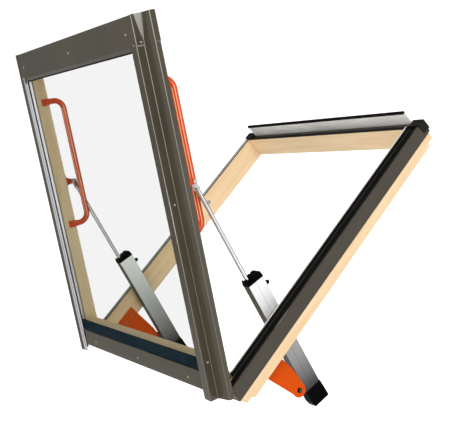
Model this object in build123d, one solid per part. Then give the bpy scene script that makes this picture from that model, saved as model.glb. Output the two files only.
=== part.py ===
from build123d import *
import os
from math import asin, atan2, degrees, hypot

# Roof skylight for smoke venting: a pine frame with folded metal cladding, a double-glazed sash
# hinged at the frame's lower end, and two linear actuators that push the sash open from below.
# Frame coordinates: X across, Y up the slope from the lower end, Z out of the roof from the
# cladding's top. Sash coordinates start on the hinge axis, and actuator coordinates on its swivel
# bolt. All lengths are in millimetres and all angles in degrees.

# Frame
frame_width = 1140.0
frame_length = 1180.0
frame_depth = 86.0
side_member_width = 53.0
bottom_member_width = 53.0
top_member_width = 40.0
wood_end_inset = 5.0
wood_outer_inset = 2.0
wood_upper_inset = 7.0
wood_step_below_top = 49.0
channel_wood_depth = 6.4
lip_width = 10.0
lip_height = 12.0
end_step_length = 30.0
end_step_depth = 12.0
wood_round = 2.0

# Sheet metal
sheet = 1.2
cladding_height = 47.0
cladding_lean = 3.6
cladding_ledge = 8.4
cladding_upright = 3.0
cladding_hem = 6.0
lower_nose_reach = 9.0
lower_nose_drop = 14.0
top_cladding_offset = 2.0
joint_gap = 0.3

# Upstand and corner caps at the top end
upstand_height = 50.0
upstand_below = 25.0
upstand_thickness = 2.0
upstand_seal_height = 8.0
upstand_seal_grip = 1.5
upstand_seal_width = 11.0
upstand_seal_inset = 4.0
corner_cap_length = 33.0
corner_cap_reach = 13.0
corner_cap_proud = 1.5
corner_cap_top = 5.0
corner_cap_drop = 34.0
corner_cap_wall = 2.0

# Seals and edge strips of the frame
seal_start = 3.0
seal_width = 23.0
top_seal_width = 11.0
seal_thickness = 2.7
seal_lip = 2.4
seal_crest = 3.0
lip_seal_thickness = 1.3
lip_seal_drop = 2.0
lip_bead_radius = 2.0
lip_bead_share = 0.45

# Hinge between frame and sash
hinge_y = 5.7
hinge_z = -1.35
open_angle = 56.0
hinge_ear = 3.5
hinge_ear_radius = 8.0
hinge_pin_radius = 4.0
pin_clearance = 0.06
hinge_pocket_width = 10.0
hinge_pocket_depth = 42.0
hinge_plate_low_y = 16.0
hinge_plate_high_y = 48.0
hinge_plate_top = -8.0
hinge_plate_bottom = -38.0
hinge_arm_length = 130.0
hinge_ear_gap = 2.0

# Sash timber
sash_side_gap = 9.0
rail_width = 31.3
rail_bottom = -13.2
rail_top = 34.6
rail_low_end = 52.0
rail_high_setback = 48.0
bottom_rail_width = 39.5
top_rail_width = 34.0
bottom_tongue = 34.0
shoulder_bottom = 20.0
shoulder_top = 53.6
side_shoulder_bottom = 16.0
side_shoulder_reach = 11.6
side_shoulder_lean = 2.4
top_shoulder_reach = 28.0

# Glazing
pane_thickness = 4.0
spacer_height = 10.2
spacer_width = 9.0
gasket_thickness = 1.4
glass_side_inset = 8.0
glass_low_inset = 10.0
glass_high_inset = 7.0
glass_play = 2.0
band_thickness = 0.5
lower_band_reach = 15.5
outer_gasket_thickness = 1.2
outer_gasket_reach = 5.0

# Sash covers, as seen in the sash's own coordinates
cover_low_end = -27.4
cover_back_overhang = 17.5
cover_side_overhang = 4.0
cover_top_width = 44.0
cover_inner_w = 62.0
cover_ridge_gap = 5.3
cover_ridge_w = 64.6
cover_undercut = 3.5
cover_valley_w = 34.6
cover_edge_w = 23.8
cover_bottom_w = 6.5
fold_ease = 1.6
hood_sill = 2.7
hood_top_w = 62.3
hood_side_inset = 5.9
hood_back_bottom = 8.0
hood_back_hem = 5.0
hood_bevel = 11.0
bottom_cover_low = -4.2
bottom_cover_gap = 2.8
bottom_cover_w = 52.0
bottom_cover_drop = 7.0
cap_setback = 3.3
cap_plain_length = 15.0
cap_flange = 12.0
cap_proud = 0.6
cap_bottom_w = 5.0

# Guard bows
bow_gap = 0.7
bow_radius = 11.0
bow_w = -65.0
bow_low_v = 494.0
bow_length = 500.0
bow_bend = 38.0
bow_foot_start = -22.0
bow_flat_start = -5.0
bow_flat_end = 16.0
bow_flat_thickness = 5.0
bow_flat_width = 27.0

# Actuators
swivel_y = 170.0
swivel_z = -250.0
rod_end_v = 661.0
rod_end_w = -50.0
rod_offset = 37.0
rod_inset = 15.5
rod_radius = 7.0
rod_gap = 0.3
rod_inner_end = 325.0
housing_depth = 36.0
housing_left = -22.0
housing_right = -88.0
housing_low = -28.0
housing_high = 408.0
housing_round = 4.0
housing_cap_proud = 0.6
head_height = 10.0
foot_length = 68.0
gland_setback = 34.0
bore_radius = 8.5
bore_floor = 8.0
seam_share = 0.45
seam_width = 1.5
seam_depth = 0.8

# Actuator brackets
plate_thickness = 4.0
plate_round = 25.0
plate_top_z = -42.5
plate_low_y = 112.0
plate_high_y = 204.5
plate_shoulder_z = -186.0
plate_waist_y = 123.0
plate_waist_z = -127.0
swivel_bolt_radius = 5.0
swivel_washer_radius = 8.5
swivel_washer_thickness = 2.0
lug_gap = 0.5
lug_radius = 11.0
lug_end = 45.0
eye_radius = 10.0
eye_gap = 0.5
bracket_thickness = 4.0
pivot_bolt_radius = 5.0
nut_radius = 8.0
nut_height = 5.0

# Fasteners
screw_radius = 2.4
screw_head_radius = 5.0
screw_head_height = 2.0
screw_length = 16.0
screw_taper = 20.0
screw_sides = 12
cover_screw_radius = 4.0
cover_screw_height = 1.6
hinge_screw_height = 1.5
hinge_screw_edge = 7.0
hood_screw_setback = 12.0
hood_screw_inset = 12.0
bottom_screw_v = 22.0
bottom_screw_inset = 100.0
bottom_screw_length = 24.0
side_screw_first = 98.0
side_screw_step = 510.0
side_screw_w = 46.0
cap_screw_length = 3.0
cap_screw_setback = 8.0
bow_screw_w = 5.0
plate_screw_z = -73.0
plate_screw_y = 141.3
plate_screw_step = 42.4
arm_screw_step = 30.0

half_width = frame_width / 2
member_inner_x = half_width - side_member_width
wood_low = wood_end_inset
wood_high = frame_length - wood_end_inset + 2
lip_outer_x = member_inner_x + lip_width
top_inner_y = frame_length - top_member_width
floor_z = -channel_wood_depth + sheet
top_face_y = frame_length + top_cladding_offset
seal_base = floor_z + seal_thickness
lip_bead_x = member_inner_x + lip_bead_share * lip_width
bottom_rail_inner = rail_low_end + bottom_rail_width
rail_outer_x = member_inner_x - sash_side_gap
rail_inner_x = rail_outer_x - rail_width
rail_high_end = frame_length - rail_high_setback
top_rail_inner = rail_high_end - top_rail_width
side_shoulder_x = rail_outer_x + side_shoulder_reach
top_shoulder_end = rail_high_end + top_shoulder_reach
bottom_tongue_end = rail_low_end - bottom_tongue
glass_half_width = rail_outer_x - glass_side_inset
glass_low_end = rail_low_end + glass_low_inset
glass_high_end = rail_high_end - glass_high_inset
lower_band_end = bottom_rail_inner + lower_band_reach
glass_bottom = rail_top + gasket_thickness
inner_pane_top = glass_bottom + pane_thickness
outer_pane_bottom = inner_pane_top + spacer_height
glass_top = outer_pane_bottom + pane_thickness
cover_ridge_x = side_shoulder_x + cover_ridge_gap
cover_valley_x = cover_ridge_x - cover_undercut
cover_inner_x = cover_ridge_x - cover_top_width
cover_edge_x = half_width + cover_side_overhang
cover_high_end = frame_length + cover_back_overhang
hood_low_end = top_rail_inner + hood_sill
hood_half_width = cover_ridge_x - hood_side_inset
bottom_cover_high = glass_low_end - bottom_cover_gap
cap_low_end = hood_low_end + cap_setback
cap_pleat_start = cap_low_end + cap_plain_length
cap_edge_x = cover_edge_x + cap_proud
bow_x = rail_inner_x - bow_radius - bow_gap
bow_high_v = bow_low_v + bow_length
rod_x = rail_outer_x - rod_inset
gland_y = housing_high - gland_setback
upstand_seal_top = upstand_height + upstand_seal_height
far_away = 3000.0

# Where each group of pieces stands. The origin is the middle of the bottom member's back face.
FRAME = Pos(0, -bottom_member_width / 2, frame_depth)
SASH = FRAME * Pos(0, hinge_y, hinge_z) * Rot(X=open_angle)

open_rod_end = Pos(0, hinge_y, hinge_z) * Rot(X=open_angle) * Pos(0, rod_end_v, rod_end_w)
reach_y = open_rod_end.position.Y - swivel_y
reach_z = open_rod_end.position.Z - swivel_z
reach = hypot(reach_y, reach_z)
actuator_angle = degrees(atan2(reach_z, reach_y) + asin(rod_offset / reach))
rod_end_y = (reach**2 - rod_offset**2) ** 0.5
ACTUATOR = FRAME * Pos(0, swivel_y, swivel_z) * Rot(X=actuator_angle)


def along_x(outline, start, end):
    """A solid with an outline of Y and Z points, from one X to another."""
    plane = Plane(origin=(start, 0, 0), x_dir=(0, 1, 0), z_dir=(1, 0, 0))
    face = plane * make_face(Polyline(*outline, close=True))
    return extrude(face, amount=end - start, dir=(1, 0, 0))


def along_y(outline, start, end):
    """A solid with an outline of X and Z points, from one Y to another."""
    plane = Plane(origin=(0, start, 0), x_dir=(1, 0, 0), z_dir=(0, -1, 0))
    face = plane * make_face(Polyline(*outline, close=True))
    return extrude(face, amount=end - start, dir=(0, 1, 0))


def block(x, y, z):
    """A box given by its low and high X, Y and Z."""
    size = [high - low for low, high in (x, y, z)]
    middle = [(high + low) / 2 for low, high in (x, y, z)]
    return Pos(*middle) * Box(*size)


def folded(path, thickness=sheet):
    """The outline of a sheet folded along a path, with the path on its left-hand face."""
    points = [Vector(*point) for point in path]
    runs = [(end - start).normalized() for start, end in zip(points, points[1:])]
    sides = [Vector(run.Y, -run.X) for run in runs]
    other = [points[0] + sides[0] * thickness]
    for corner, before, after in zip(points[1:], sides, sides[1:]):
        other.append(corner + (before + after) * (thickness / (1 + before.dot(after))))
    other.append(points[-1] + sides[-1] * thickness)
    return [(point.X, point.Y) for point in points + other[::-1]]


def eased(path, cut=fold_ease):
    """The path with each inner corner cut back to two points, as a tight fold has."""
    points = [Vector(*point) for point in path]
    result = [path[0]]
    for before, corner, after in zip(points, points[1:], points[2:]):
        for other in (before, after):
            near = corner + (other - corner).normalized() * cut
            result.append((near.X, near.Y))
    return [*result, path[-1]]


def rod_along_x(radius, start, end, y, z):
    """A round bar along X."""
    return Pos((start + end) / 2, y, z) * Rot(Y=90) * Cylinder(radius, end - start)


def rod_along_y(radius, start, end, x, z):
    """A round bar along Y."""
    return Pos(x, (start + end) / 2, z) * Rot(X=90) * Cylinder(radius, end - start)


def screw(head_radius=screw_head_radius, head=screw_head_height, length=screw_length):
    """A screw whose head stands on the XY plane, with its shank below."""
    top = extrude(RegularPolygon(head_radius, screw_sides), head, taper=screw_taper)
    return top + extrude(RegularPolygon(screw_radius, screw_sides), -length)


def drilled(shape, screws):
    """The shape with a hole for each screw that goes into it."""
    for one in screws:
        shape -= one
    return shape


def both_sides(shape):
    """The shape and its mirror image across the middle of the window."""
    return [shape, mirror(shape, about=Plane.YZ)]


def save(name, shapes, place):
    """Write one node: a shape or a list of separate shapes, put in its place."""
    if not isinstance(shapes, list):
        shapes = [shapes]
    solids = [solid for shape in shapes for solid in (place * shape).solids()]
    export_step(Compound(children=solids) if len(solids) > 1 else solids[0], f"parts/{name}.step")


def save_pair(name, shape, place):
    """Write a right-hand node and its mirror image."""
    right, left = both_sides(shape)
    save(f"{name}_right", right, place)
    save(f"{name}_left", left, place)


def frame_side():
    """Side member: a rebated profile with a lip, stepped at both ends of its back."""
    outer = half_width - wood_outer_inset
    upper = half_width - wood_upper_inset
    step = -wood_step_below_top
    outline = [
        (member_inner_x, -frame_depth), (outer, -frame_depth), (outer, step), (upper, step),
        (upper, -channel_wood_depth), (lip_outer_x, -channel_wood_depth),
        (lip_outer_x, lip_height), (member_inner_x, lip_height),
    ]
    wood = along_y(outline, wood_low, wood_high)
    lip_x = (member_inner_x - 1, lip_outer_x + 1)
    lip_z = (-channel_wood_depth, lip_height + 1)
    wood -= block(lip_x, (-1, bottom_member_width - lip_width), lip_z)
    wood -= block(lip_x, (top_inner_y + lip_width, frame_length + 1), lip_z)
    back = (-frame_depth - 1, -frame_depth + end_step_depth)
    across = (member_inner_x - 1, half_width + 1)
    wood -= block(across, (0, wood_low + end_step_length), back)
    wood -= block(across, (wood_high - end_step_length, frame_length + 1), back)
    return drilled(wood, plate_screws() + hinge_plate_screws())


def frame_top():
    """Top member, between the side members."""
    outer = wood_high
    lip = top_inner_y + lip_width
    outline = [
        (top_inner_y, -frame_depth), (outer, -frame_depth), (outer, -channel_wood_depth),
        (lip, -channel_wood_depth), (lip, lip_height), (top_inner_y, lip_height),
    ]
    return along_x(outline, -member_inner_x, member_inner_x)


def hinge_pocket():
    """The slot at a lower corner in which the two hinge ears stand."""
    return block(
        (member_inner_x - hinge_pocket_width, member_inner_x),
        (-lower_nose_reach - 5, bottom_member_width + 1),
        (-hinge_pocket_depth, lip_height + 1),
    )


def frame_bottom():
    """Bottom member, with a pocket for the hinge at each end."""
    inner = bottom_member_width
    lip = inner - lip_width
    outline = [
        (wood_low, -frame_depth), (inner, -frame_depth), (inner, lip_height), (lip, lip_height),
        (lip, -channel_wood_depth), (wood_low, -channel_wood_depth),
    ]
    wood = along_x(outline, -member_inner_x, member_inner_x)
    for pocket in both_sides(hinge_pocket()):
        wood -= pocket
    return wood


def lower_nose():
    """The front face of the lower cladding, from its hem up to its ledge."""
    return [
        (-lower_nose_reach + cladding_hem, -cladding_height),
        (-lower_nose_reach, -cladding_height),
        (-lower_nose_reach / 2, -lower_nose_drop),
        (cladding_lean, 0),
        (cladding_lean + cladding_ledge, 0),
    ]


def side_cladding():
    """Folded cover of a side member: channel, ledge and leaning side face."""
    ledge_outer = half_width - cladding_lean
    ledge_inner = ledge_outer - cladding_ledge
    channel = [
        (lip_outer_x + joint_gap + sheet, cladding_upright),
        (lip_outer_x + joint_gap + sheet, floor_z),
        (ledge_inner - 2, floor_z),
    ]
    side = [
        (ledge_outer, 0),
        (half_width, -cladding_height),
        (half_width - cladding_hem, -cladding_height),
    ]
    ledge_end = cladding_lean + cladding_ledge + joint_gap
    cover = along_y(folded(channel + [(ledge_inner, 0)] + side), ledge_end, top_face_y)
    upright = (lip_outer_x, lip_outer_x + joint_gap + sheet)
    upright_z = (floor_z, cladding_upright + 1)
    cover -= block(upright, (0, bottom_member_width - lip_width), upright_z)
    cover -= block(upright, (top_inner_y + lip_width, top_face_y + 1), upright_z)
    corner = along_y(folded(side[:2]), -lower_nose_reach, ledge_end)
    beyond = lower_nose()[1:4]
    in_front = [
        (-far_away, beyond[0][1] - 10), (beyond[0][0], beyond[0][1] - 10),
        *beyond, (beyond[-1][0], 10), (-far_away, 10),
    ]
    corner -= along_x(in_front, ledge_inner - 30, half_width + 10)
    return cover + corner


def lower_cladding():
    """Folded cover of the bottom member, with its nose over the lower face."""
    nose = lower_nose()
    upright_y = bottom_member_width - lip_width - joint_gap - sheet
    channel = [
        (nose[-1][0] + 2, floor_z), (upright_y, floor_z), (upright_y, cladding_upright),
    ]
    nose_half = half_width - cladding_lean - sheet - joint_gap
    channel_half = member_inner_x - hinge_pocket_width - joint_gap
    cover = along_x(folded(nose), -nose_half, nose_half)
    cover += along_x(folded(nose + channel), -channel_half, channel_half)
    for pocket in both_sides(hinge_pocket()):
        cover -= pocket
    return cover


def top_cladding():
    """Folded cover of the top member."""
    upright_y = top_inner_y + lip_width + joint_gap + sheet
    path = [
        (upright_y, cladding_upright), (upright_y, floor_z), (top_face_y, floor_z),
        (top_face_y, -cladding_height), (top_face_y - 4, -cladding_height),
    ]
    return along_x(folded(path), -lip_outer_x, lip_outer_x)


def seal_profile(width):
    """Section of the channel's seal: a flat strip with a raised lip along each edge."""
    start = seal_start
    end = start + width
    return [
        (start, floor_z), (end, floor_z), (end, seal_base), (end - seal_lip, seal_crest - 1),
        (end - 2 * seal_lip, seal_base), (start + 2 * seal_lip, seal_base),
        (start + seal_lip, seal_crest), (start, seal_base),
    ]


def frame_seal():
    """Rubber seal in the cladding's channel: one length round the sides and top, one below."""
    side_x = lip_outer_x + joint_gap + sheet
    top_y = top_inner_y + lip_width + joint_gap + sheet
    low_y = bottom_member_width - lip_width - joint_gap - sheet
    reach_in = seal_start + seal_width
    side = [(side_x + a, b) for a, b in seal_profile(seal_width)]
    top_end = top_y + seal_start + top_seal_width
    sides = both_sides(along_y(side, low_y - reach_in, top_end))
    half = side_x + reach_in
    top = along_x([(top_y + a, b) for a, b in seal_profile(top_seal_width)], -half, half)
    low_half = member_inner_x - hinge_pocket_width - 2
    low = along_x([(low_y - a, b) for a, b in seal_profile(seal_width)], -low_half, low_half)
    return [sides[0] + sides[1] + top, low]


def lip_seal_outline(inner, outer):
    """Section of the black edge strip that wraps the timber's lip down to the cladding."""
    top = lip_height + lip_seal_thickness
    face = inner - lip_seal_thickness
    back = outer + lip_seal_thickness
    bottom = lip_height - lip_seal_drop
    foot = cladding_upright + joint_gap
    return [
        (face, bottom), (inner, bottom), (inner, lip_height), (outer, lip_height),
        (outer, foot), (back, foot), (back, lip_height), (outer, top), (inner, top),
        (face, lip_height),
    ]


def lip_seals():
    """Black edge strips on the lips of the two side members and of the top member."""
    side_outline = lip_seal_outline(member_inner_x, lip_outer_x)
    low_end = bottom_member_width - lip_width
    high_end = top_inner_y + lip_width
    corner = top_inner_y - lip_seal_thickness - joint_gap
    side = along_y(side_outline, low_end, high_end)
    side -= block((0, member_inner_x), (corner, high_end + 1), (0, far_away))
    top_outline = lip_seal_outline(top_inner_y, high_end)
    top_half = member_inner_x - joint_gap
    return [*both_sides(side), along_x(top_outline, -top_half, top_half)]


def lip_bead():
    """Light bead on a side member's edge strip, where the closed sash rests."""
    top = lip_height + lip_seal_thickness
    start = bottom_member_width + joint_gap
    bead = rod_along_y(lip_bead_radius, start, top_inner_y - lip_seal_thickness, lip_bead_x, top)
    return bead - block((0, half_width), (0, frame_length), (0, top))


def top_upstand():
    """Plate that stands up behind the top member, under the closed sash's hood."""
    face = top_face_y + joint_gap
    plate = block(
        (-member_inner_x, member_inner_x),
        (face, face + upstand_thickness),
        (-upstand_below, upstand_height),
    )
    return plate


def upstand_seal():
    """Rubber bulb seal along the upstand's top edge."""
    middle = top_face_y + joint_gap + upstand_thickness / 2
    half = upstand_seal_width / 2
    slot = upstand_thickness / 2
    low = upstand_height - upstand_seal_grip
    crown = half / 2
    outline = [
        (middle - half, low), (middle - slot, low), (middle - slot, upstand_height),
        (middle + slot, upstand_height), (middle + slot, low), (middle + half, low),
        (middle + half, upstand_seal_top - crown), (middle + crown, upstand_seal_top),
        (middle - crown, upstand_seal_top), (middle - half, upstand_seal_top - crown),
    ]
    end = member_inner_x - upstand_seal_inset
    return along_x(outline, -end, end)


def corner_cap():
    """Moulded cap over a top corner, where the side and top cladding meet."""
    outer_x = half_width + corner_cap_proud
    inner_x = member_inner_x + 1
    back_y = frame_length + corner_cap_reach
    front_y = back_y - corner_cap_length
    wall = corner_cap_wall
    cap = block((inner_x, outer_x), (front_y, back_y), (0, corner_cap_top))
    cap += block((outer_x - wall, outer_x), (front_y, back_y), (-corner_cap_drop, corner_cap_top))
    cap += block((inner_x, outer_x), (back_y - wall, back_y), (-corner_cap_drop, corner_cap_top))
    heel_y = top_face_y + joint_gap
    cap += block((inner_x, outer_x), (heel_y, back_y), (-corner_cap_drop - wall, -corner_cap_drop))
    cap += block(
        (inner_x, outer_x), (heel_y, heel_y + wall), (-cladding_height + 1, -corner_cap_drop)
    )
    over_seal = seal_crest + joint_gap
    cap -= block((0, lip_outer_x + seal_start + seal_width + 4), (0, top_face_y), (-1, over_seal))
    return cap


def frame_hinge():
    """Hinge plate let into the pocket and screwed to the side member, with its pin."""
    outer = member_inner_x
    inner = outer - hinge_ear
    body = [
        (hinge_y - 0.75 * hinge_ear_radius, hinge_z - 0.66 * hinge_ear_radius),
        (hinge_y + 0.66 * hinge_ear_radius, hinge_z + 0.75 * hinge_ear_radius),
        (hinge_plate_high_y, hinge_plate_top), (hinge_plate_high_y, hinge_plate_bottom),
        (hinge_plate_low_y, hinge_plate_bottom),
    ]
    plate = along_x(body, inner, outer)
    plate += rod_along_x(hinge_ear_radius, inner, outer, hinge_y, hinge_z)
    plate -= hinge_pin()
    return drilled(plate, hinge_plate_screws())


def hinge_pin():
    """Pin through both hinge ears."""
    outer = member_inner_x - 0.1
    ears = 2 * hinge_ear + hinge_ear_gap
    inner = outer - ears - 0.3
    return rod_along_x(hinge_pin_radius, inner, outer, hinge_y, hinge_z)


def sash_hinge_arm():
    """Flat arm on the outer face of a sash side rail, with the ear that turns on the pin."""
    inner = rail_outer_x
    outer = inner + hinge_ear
    arm = block((inner, outer), (0, hinge_arm_length), (-hinge_ear_radius, hinge_ear_radius))
    for v in (0, hinge_arm_length):
        arm += rod_along_x(hinge_ear_radius, inner, outer, v, 0)
    arm -= rod_along_x(hinge_pin_radius + pin_clearance, inner - 1, outer + 1, 0, 0)
    return drilled(arm, arm_screws())


def sash_side():
    """Side rail of the sash, with the shoulder that carries the glass edge and the cover."""
    outline = [
        (rail_inner_x, rail_bottom), (rail_outer_x, rail_bottom),
        (rail_outer_x, side_shoulder_bottom), (side_shoulder_x, side_shoulder_bottom),
        (side_shoulder_x, rail_top), (side_shoulder_x + side_shoulder_lean, shoulder_top),
        (glass_half_width + glass_play, shoulder_top), (glass_half_width + glass_play, rail_top),
        (rail_inner_x, rail_top),
    ]
    rail = along_y(outline, rail_low_end, rail_high_end)
    return drilled(rail, bow_screws() + arm_screws() + side_cover_screws())


def sash_top():
    """Top rail of the sash, with a shoulder under the hood."""
    rail = [
        (top_rail_inner, rail_bottom), (rail_high_end, rail_bottom),
        (rail_high_end, shoulder_top), (glass_high_end + glass_play, shoulder_top),
        (glass_high_end + glass_play, rail_top), (top_rail_inner, rail_top),
    ]
    shoulder = [
        (rail_high_end, shoulder_bottom), (top_shoulder_end, shoulder_bottom),
        (top_shoulder_end, shoulder_top), (rail_high_end, shoulder_top),
    ]
    half = side_shoulder_x
    wood = along_x(rail, -rail_inner_x, rail_inner_x) + along_x(shoulder, -half, half)
    return drilled(wood, hood_screws())


def sash_bottom():
    """Bottom rail of the sash, with a tongue under the bottom cover."""
    outline = [
        (rail_low_end, rail_bottom), (bottom_rail_inner, rail_bottom),
        (bottom_rail_inner, rail_top), (bottom_tongue_end, rail_top),
        (bottom_tongue_end, shoulder_bottom), (rail_low_end, shoulder_bottom),
    ]
    return drilled(along_x(outline, -rail_inner_x, rail_inner_x), bottom_cover_screws())


def glazing_ring(outer_x, low, high, width, bottom, top):
    """A flat rectangular ring round the glass."""
    ring = block((-outer_x, outer_x), (low, high), (bottom, top))
    inner = outer_x - width
    return ring - block((-inner, inner), (low + width, high - width), (bottom - 1, top + 1))


def pane(bottom):
    """One sheet of glass."""
    half = glass_half_width
    return block((-half, half), (glass_low_end, glass_high_end), (bottom, bottom + pane_thickness))


def spacer():
    """Metal spacer between the panes, its face in line with the rails' inner faces."""
    outer = rail_inner_x + spacer_width
    low = bottom_rail_inner - spacer_width
    high = top_rail_inner + spacer_width
    top = outer_pane_bottom - band_thickness
    return glazing_ring(outer, low, high, spacer_width, inner_pane_top, top)


def glass_band():
    """Dark edge band on the back of the outer pane, out to the glass edge."""
    z = (outer_pane_bottom - band_thickness, outer_pane_bottom)
    outer = glass_half_width
    inner = rail_inner_x
    band = block((-outer, outer), (glass_low_end, glass_high_end), z)
    return band - block((-inner, inner), (lower_band_end, top_rail_inner), z)


def outer_gasket():
    """Rubber strip on the glass under the side covers' and the hood's edges."""
    z = (glass_top, glass_top + outer_gasket_thickness)
    outer = glass_half_width
    inner_x = cover_inner_x - 1
    high = hood_low_end - hood_bevel - outer_gasket_reach
    strip = block((-outer, outer), (glass_low_end, glass_high_end), z)
    return strip - block((-inner_x, inner_x), (glass_low_end - 1, high), z)


def side_cover():
    """Folded cover along a side of the sash, with its ridge, valley, shelf and drop."""
    path = [
        (cover_inner_x, glass_top + outer_gasket_thickness),
        (cover_inner_x, cover_inner_w),
        (cover_ridge_x, cover_ridge_w),
        (cover_valley_x, cover_valley_w),
        (cover_edge_x, cover_edge_w),
        (cover_edge_x, cover_bottom_w),
    ]
    cover = along_y(folded(eased(path)), cover_low_end, cap_low_end - joint_gap)
    cover -= block((0, hood_half_width), (hood_low_end - 20, cap_low_end), (0, hood_top_w))
    return drilled(cover, side_cover_screws())


def hood():
    """Top cover of the sash, folded down at its back and hemmed at its front."""
    bevel_w = glass_top + outer_gasket_thickness + sheet
    path = [
        (hood_low_end - hood_bevel, bevel_w),
        (hood_low_end, hood_top_w),
        (cover_high_end, hood_top_w),
        (cover_high_end, hood_back_bottom),
        (cover_high_end - hood_back_hem, hood_back_bottom),
    ]
    bevel = along_x(folded(path[:2]), -cover_inner_x + 1, cover_inner_x - 1)
    main = folded(eased(path[1:]))
    cover = along_x(main, -hood_half_width, hood_half_width) + bevel
    return drilled(cover, hood_screws())


def cap_path(pleat, valley):
    """Section of the hood's end cap: flange, ridge, pleat, shelf and drop."""
    ridge_x = cover_ridge_x + cap_proud
    ridge_w = hood_top_w + sheet + joint_gap
    edge_w = cover_edge_w + cap_proud
    return [
        (cover_ridge_x - cap_flange, ridge_w - joint_gap),
        (ridge_x - fold_ease, ridge_w),
        (ridge_x, ridge_w - fold_ease),
        *pleat,
        *valley,
        (cap_edge_x - fold_ease, edge_w + joint_gap),
        (cap_edge_x, edge_w - fold_ease),
        (cap_edge_x, cap_bottom_w),
    ]


def cover_cap():
    """End cap of the hood, with a pleat that opens towards its closed back."""
    x, w = cover_valley_x, cover_valley_w
    narrow = cap_path([(x + 1.5, w + 5), (x + 1.6, w + 4)], [(x + 2, w + 1.6), (x + 4, w + 0.2)])
    wide = cap_path([(x + 4, w + 19), (x + 5.5, w + 16)], [(x + 15, w - 1), (x + 19.5, w - 3.5)])
    cap = along_y(folded(narrow), cap_low_end, cap_pleat_start)
    sections = []
    for v, path in ((cap_pleat_start, narrow), (cover_high_end, wide)):
        plane = Plane(origin=(0, v, 0), x_dir=(1, 0, 0), z_dir=(0, -1, 0))
        sections.append(plane * make_face(Polyline(*folded(path), close=True)))
    cap += loft(sections, ruled=True)
    inner_x = hood_half_width + joint_gap
    back = [*wide[1:], (inner_x, cap_bottom_w), (inner_x, hood_top_w)]
    return cap + along_y(back, cover_high_end, cover_high_end + sheet)


def bottom_cover():
    """Cover of the sash's lower end, below the glass edge."""
    path = [
        (bottom_cover_low + 5, bottom_cover_drop),
        (bottom_cover_low, bottom_cover_drop),
        (bottom_cover_low, bottom_cover_w),
        (bottom_cover_high, bottom_cover_w),
        (bottom_cover_high, rail_top),
    ]
    cover = along_x(folded(path), -rail_inner_x, rail_inner_x)
    return drilled(cover, bottom_cover_screws())


def bow():
    """Guard bow: a bent tube with flattened ends against the rail's inner face."""
    legs = [(bow_high_v, bow_foot_start), (bow_high_v, bow_w), (bow_low_v, bow_w),
            (bow_low_v, bow_foot_start)]
    path = FilletPolyline(*[(bow_x, v, w) for v, w in legs], radius=bow_bend)
    start = Plane(origin=(bow_x, bow_high_v, bow_foot_start), z_dir=(0, 0, -1))
    tube = sweep(start * Circle(bow_radius), path=path)
    flat_x = rail_inner_x - bow_flat_thickness / 2
    for v in (bow_low_v, bow_high_v):
        round_end = Plane(origin=(bow_x, v, bow_foot_start)) * Circle(bow_radius)
        flat_face = Plane(origin=(flat_x, v, bow_flat_start)) * RectangleRounded(
            bow_flat_thickness, bow_flat_width, bow_flat_thickness / 2 - 0.2
        )
        tube += loft([round_end, flat_face], ruled=True)
        tube += extrude(flat_face, amount=bow_flat_end - bow_flat_start, dir=(0, 0, 1))
    return drilled(tube, bow_screws())


def actuator_plate():
    """Bracket plate on a frame side member's inner face, rounded about the swivel bolt."""
    inner = member_inner_x - plate_thickness
    outline = [
        (plate_low_y, plate_top_z), (plate_high_y, plate_top_z), (plate_high_y, plate_shoulder_z),
        (swivel_y + plate_round, swivel_z), (swivel_y, swivel_z - plate_round),
        (swivel_y - 0.8 * plate_round, swivel_z - 0.6 * plate_round),
        (plate_waist_y, plate_waist_z),
    ]
    plate = along_x(outline, inner, member_inner_x)
    plate += rod_along_x(plate_round, inner, member_inner_x, swivel_y, swivel_z)
    plate -= rod_along_x(swivel_bolt_radius, inner - 1, member_inner_x + 1, swivel_y, swivel_z)
    return drilled(plate, plate_screws())


def swivel_bolt():
    """Bolt and nut on which an actuator's lug swivels."""
    outer = member_inner_x + swivel_washer_thickness
    nut_x = rod_x - housing_depth / 2 + 4
    head = Pos(outer, swivel_y, swivel_z) * Rot(Y=90) * extrude(RegularPolygon(6.5, 6), 4)
    bolt = rod_along_x(swivel_bolt_radius, nut_x, outer, swivel_y, swivel_z)
    nut = Pos(nut_x, swivel_y, swivel_z) * Rot(Y=90) * extrude(RegularPolygon(7.5, 6), 5)
    return bolt + head + nut


def swivel_washer():
    """Black washer under the swivel bolt's head."""
    outer = member_inner_x
    washer = rod_along_x(
        swivel_washer_radius, outer, outer + swivel_washer_thickness, swivel_y, swivel_z
    )
    return washer - rod_along_x(swivel_bolt_radius, outer - 1, outer + 5, swivel_y, swivel_z)


def housing():
    """Extruded housing with the rod's bore and a seam along its outer face."""
    height = housing_left - housing_right
    middle = (rod_x, housing_low, (housing_left + housing_right) / 2)
    plane = Plane(origin=middle, x_dir=(1, 0, 0), z_dir=(0, 1, 0))
    section = plane * RectangleRounded(housing_depth, height, housing_round)
    body = extrude(section, amount=housing_high - housing_low)
    bore_start = housing_low + bore_floor
    body -= rod_along_y(bore_radius, bore_start, housing_high + 1, rod_x, -rod_offset)
    outer_x = rod_x + housing_depth / 2
    seam_z = housing_left - seam_share * height
    seam_y = (housing_low - 1, housing_high + 1)
    return body - block((outer_x - seam_depth, outer_x + 1), seam_y, (seam_z - seam_width, seam_z))


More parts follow.
